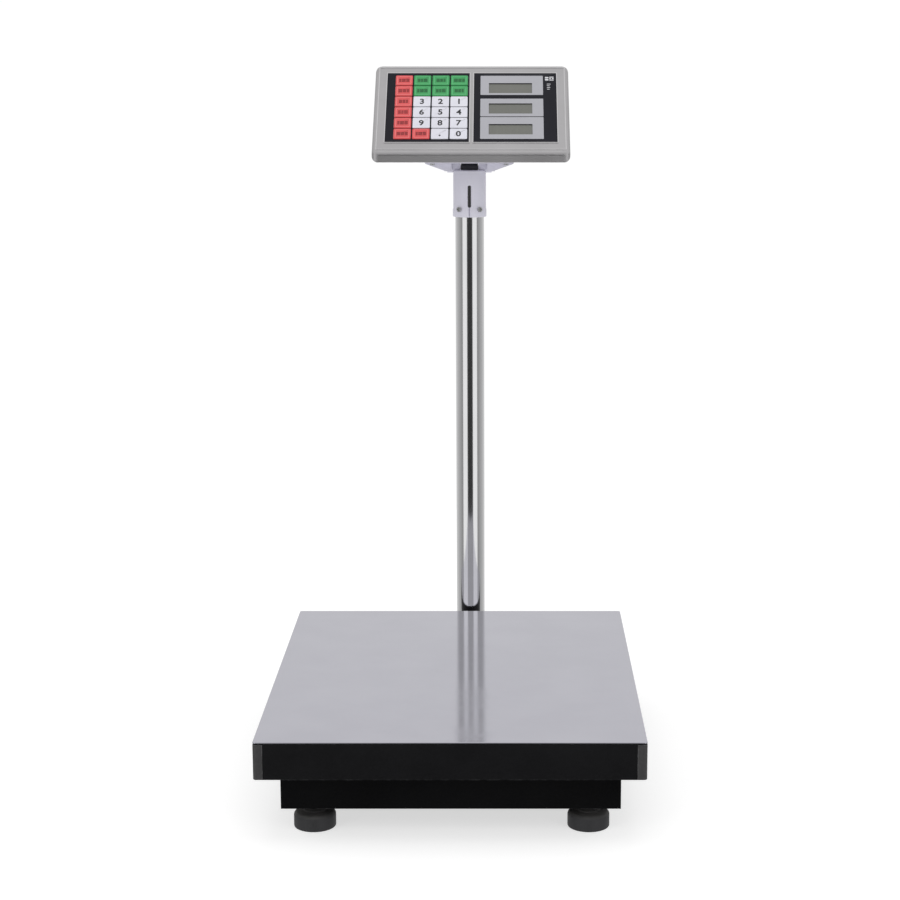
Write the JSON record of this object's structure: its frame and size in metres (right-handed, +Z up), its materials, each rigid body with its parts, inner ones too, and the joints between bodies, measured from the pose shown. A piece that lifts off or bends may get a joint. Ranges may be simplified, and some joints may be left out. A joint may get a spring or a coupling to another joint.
{
  "type": "platform scale",
  "caption": "Free-standing platform scale: steel deck on a levelled base frame, with a tilting keypad and display head on a column behind the deck.",
  "frame": {"origin": "on the floor under the middle of the scale's bounding box", "axes": "+Z up, +X to the right of the person at the keypad, +Y away from them, towards the column"},
  "size_m": [0.4, 0.5732, 0.779],
  "materials": {
    "frame_black": "black powder coat",
    "dark_steel": "black oxide steel",
    "cell_aluminium": "machined, clear anodised",
    "plain_steel": "zinc-plated steel",
    "rubber_black": "moulded, matt",
    "tray_black": "gloss black enamel",
    "deck_steel": "bright satin stainless sheet",
    "column_chrome": "polished stainless tube",
    "cable_black": "PVC cable sheath",
    "plastic_white": "moulded, satin",
    "head_steel": "satin stainless sheet",
    "overlay_black": "printed polycarbonate film",
    "lcd_glass": "display glass over a grey-green reflector",
    "board_green": "circuit board with solder mask",
    "battery_grey": "sealed battery case",
    "plastic_black": "moulded, gloss",
    "key_red": "moulded key, satin gloss",
    "key_green": "moulded key, satin gloss",
    "key_white": "moulded key, satin gloss"
  },
  "bodies": {
    "base": {"base_frame": "frame_black", "column_seat": "frame_black", "base_bolts": "dark_steel", "load_cell": "cell_aluminium", "lower_spacer": "plain_steel", "overload_stops": "dark_steel", "foot_lock_nuts": "plain_steel", "column_tube": "column_chrome", "signal_cable": "cable_black", "column_adapter": "plastic_white", "adapter_screws": "plain_steel", "hinge_tongue": "dark_steel"},
    "deck": {"platform_spider": "frame_black", "upper_spacer": "plain_steel", "upper_cell_bolts": "dark_steel", "deck_pads": "rubber_black"},
    "tray": {"platform_tray": "tray_black", "platform_cover": "deck_steel"},
    "head": {"tilt_bracket": "plastic_white", "tilt_bolt": "plain_steel", "tilt_nut": "plain_steel", "head_shell": "head_steel", "head_base": "head_steel", "case_screws": "plain_steel", "keypad_overlay": "overlay_black", "display_overlay": "overlay_black", "lcd_modules": "lcd_glass", "main_board": "board_green", "battery": "battery_grey", "dc_inlet": "plastic_black", "switch_bezel": "plastic_black"},
    "rocker": {"power_rocker": "key_red"},
    "foot_front_left": {"foot_front_left": "rubber_black"},
    "foot_front_right": {"foot_front_right": "rubber_black"},
    "foot_rear_left": {"foot_rear_left": "rubber_black"},
    "foot_rear_right": {"foot_rear_right": "rubber_black"},
    "key_r1c1_body": {"key_r1c1": "key_red"},
    "key_r1c2_body": {"key_r1c2": "key_green"},
    "key_r1c3_body": {"key_r1c3": "key_green"},
    "key_r1c4_body": {"key_r1c4": "key_green"},
    "key_r2c1_body": {"key_r2c1": "key_red"},
    "key_r2c2_body": {"key_r2c2": "key_green"},
    "key_r2c3_body": {"key_r2c3": "key_green"},
    "key_r2c4_body": {"key_r2c4": "key_green"},
    "key_r3c1_body": {"key_r3c1": "key_red"},
    "key_r3c2_body": {"key_r3c2": "key_white"},
    "key_r3c3_body": {"key_r3c3": "key_white"},
    "key_r3c4_body": {"key_r3c4": "key_white"},
    "key_r4c1_body": {"key_r4c1": "key_red"},
    "key_r4c2_body": {"key_r4c2": "key_white"},
    "key_r4c3_body": {"key_r4c3": "key_white"},
    "key_r4c4_body": {"key_r4c4": "key_white"},
    "key_r5c1_body": {"key_r5c1": "key_red"},
    "key_r5c2_body": {"key_r5c2": "key_white"},
    "key_r5c3_body": {"key_r5c3": "key_white"},
    "key_r5c4_body": {"key_r5c4": "key_white"},
    "key_r6c1_body": {"key_r6c1": "key_red"},
    "key_r6c2_body": {"key_r6c2": "key_red"},
    "key_r6c3_body": {"key_r6c3": "key_white"},
    "key_r6c4_body": {"key_r6c4": "key_white"}
  },
  "joints": [
    {"name": "deck_deflect", "type": "slide", "parent": "base", "child": "deck", "axis": [0, 0, 1], "range_m": [-0.0006, 0], "stiffness_N_per_m": 4900000, "deforming": ["load_cell"]},
    {"name": "tray_lift", "type": "slide", "parent": "deck", "child": "tray", "axis": [0, 0, 1], "range_m": [0, 0.08]},
    {"name": "head_tilt", "type": "hinge", "parent": "base", "child": "head", "pos_m": [0.013, 0.24341, 0.6585], "axis": [1, 0, 0], "range_deg": [-20, 15]},
    {"name": "power_switch", "type": "hinge", "parent": "head", "child": "rocker", "pos_m": [0.078, 0.28139, 0.6925], "axis": [-1, 0, 0], "range_deg": [0, 16]},
    {"name": "level_front_left", "type": "slide", "parent": "base", "child": "foot_front_left", "axis": [0, 0, -1], "range_m": [0, 0.012]},
    {"name": "level_front_right", "type": "slide", "parent": "base", "child": "foot_front_right", "axis": [0, 0, -1], "range_m": [0, 0.012]},
    {"name": "level_rear_left", "type": "slide", "parent": "base", "child": "foot_rear_left", "axis": [0, 0, -1], "range_m": [0, 0.012]},
    {"name": "level_rear_right", "type": "slide", "parent": "base", "child": "foot_rear_right", "axis": [0, 0, -1], "range_m": [0, 0.012]},
    {"name": "press_r1c1", "type": "slide", "parent": "head", "child": "key_r1c1_body", "axis": [0, 0.6691, -0.7431], "range_m": [0, 0.0008], "stiffness_N_per_m": 600},
    {"name": "press_r1c2", "type": "slide", "parent": "head", "child": "key_r1c2_body", "axis": [0, 0.6691, -0.7431], "range_m": [0, 0.0008], "stiffness_N_per_m": 600},
    {"name": "press_r1c3", "type": "slide", "parent": "head", "child": "key_r1c3_body", "axis": [0, 0.6691, -0.7431], "range_m": [0, 0.0008], "stiffness_N_per_m": 600},
    {"name": "press_r1c4", "type": "slide", "parent": "head", "child": "key_r1c4_body", "axis": [0, 0.6691, -0.7431], "range_m": [0, 0.0008], "stiffness_N_per_m": 600},
    {"name": "press_r2c1", "type": "slide", "parent": "head", "child": "key_r2c1_body", "axis": [0, 0.6691, -0.7431], "range_m": [0, 0.0008], "stiffness_N_per_m": 600},
    {"name": "press_r2c2", "type": "slide", "parent": "head", "child": "key_r2c2_body", "axis": [0, 0.6691, -0.7431], "range_m": [0, 0.0008], "stiffness_N_per_m": 600},
    {"name": "press_r2c3", "type": "slide", "parent": "head", "child": "key_r2c3_body", "axis": [0, 0.6691, -0.7431], "range_m": [0, 0.0008], "stiffness_N_per_m": 600},
    {"name": "press_r2c4", "type": "slide", "parent": "head", "child": "key_r2c4_body", "axis": [0, 0.6691, -0.7431], "range_m": [0, 0.0008], "stiffness_N_per_m": 600},
    {"name": "press_r3c1", "type": "slide", "parent": "head", "child": "key_r3c1_body", "axis": [0, 0.6691, -0.7431], "range_m": [0, 0.0008], "stiffness_N_per_m": 600},
    {"name": "press_r3c2", "type": "slide", "parent": "head", "child": "key_r3c2_body", "axis": [0, 0.6691, -0.7431], "range_m": [0, 0.0008], "stiffness_N_per_m": 600},
    {"name": "press_r3c3", "type": "slide", "parent": "head", "child": "key_r3c3_body", "axis": [0, 0.6691, -0.7431], "range_m": [0, 0.0008], "stiffness_N_per_m": 600},
    {"name": "press_r3c4", "type": "slide", "parent": "head", "child": "key_r3c4_body", "axis": [0, 0.6691, -0.7431], "range_m": [0, 0.0008], "stiffness_N_per_m": 600},
    {"name": "press_r4c1", "type": "slide", "parent": "head", "child": "key_r4c1_body", "axis": [0, 0.6691, -0.7431], "range_m": [0, 0.0008], "stiffness_N_per_m": 600},
    {"name": "press_r4c2", "type": "slide", "parent": "head", "child": "key_r4c2_body", "axis": [0, 0.6691, -0.7431], "range_m": [0, 0.0008], "stiffness_N_per_m": 600},
    {"name": "press_r4c3", "type": "slide", "parent": "head", "child": "key_r4c3_body", "axis": [0, 0.6691, -0.7431], "range_m": [0, 0.0008], "stiffness_N_per_m": 600},
    {"name": "press_r4c4", "type": "slide", "parent": "head", "child": "key_r4c4_body", "axis": [0, 0.6691, -0.7431], "range_m": [0, 0.0008], "stiffness_N_per_m": 600},
    {"name": "press_r5c1", "type": "slide", "parent": "head", "child": "key_r5c1_body", "axis": [0, 0.6691, -0.7431], "range_m": [0, 0.0008], "stiffness_N_per_m": 600},
    {"name": "press_r5c2", "type": "slide", "parent": "head", "child": "key_r5c2_body", "axis": [0, 0.6691, -0.7431], "range_m": [0, 0.0008], "stiffness_N_per_m": 600},
    {"name": "press_r5c3", "type": "slide", "parent": "head", "child": "key_r5c3_body", "axis": [0, 0.6691, -0.7431], "range_m": [0, 0.0008], "stiffness_N_per_m": 600},
    {"name": "press_r5c4", "type": "slide", "parent": "head", "child": "key_r5c4_body", "axis": [0, 0.6691, -0.7431], "range_m": [0, 0.0008], "stiffness_N_per_m": 600},
    {"name": "press_r6c1", "type": "slide", "parent": "head", "child": "key_r6c1_body", "axis": [0, 0.6691, -0.7431], "range_m": [0, 0.0008], "stiffness_N_per_m": 600},
    {"name": "press_r6c2", "type": "slide", "parent": "head", "child": "key_r6c2_body", "axis": [0, 0.6691, -0.7431], "range_m": [0, 0.0008], "stiffness_N_per_m": 600},
    {"name": "press_r6c3", "type": "slide", "parent": "head", "child": "key_r6c3_body", "axis": [0, 0.6691, -0.7431], "range_m": [0, 0.0008], "stiffness_N_per_m": 600},
    {"name": "press_r6c4", "type": "slide", "parent": "head", "child": "key_r6c4_body", "axis": [0, 0.6691, -0.7431], "range_m": [0, 0.0008], "stiffness_N_per_m": 600}
  ]
}
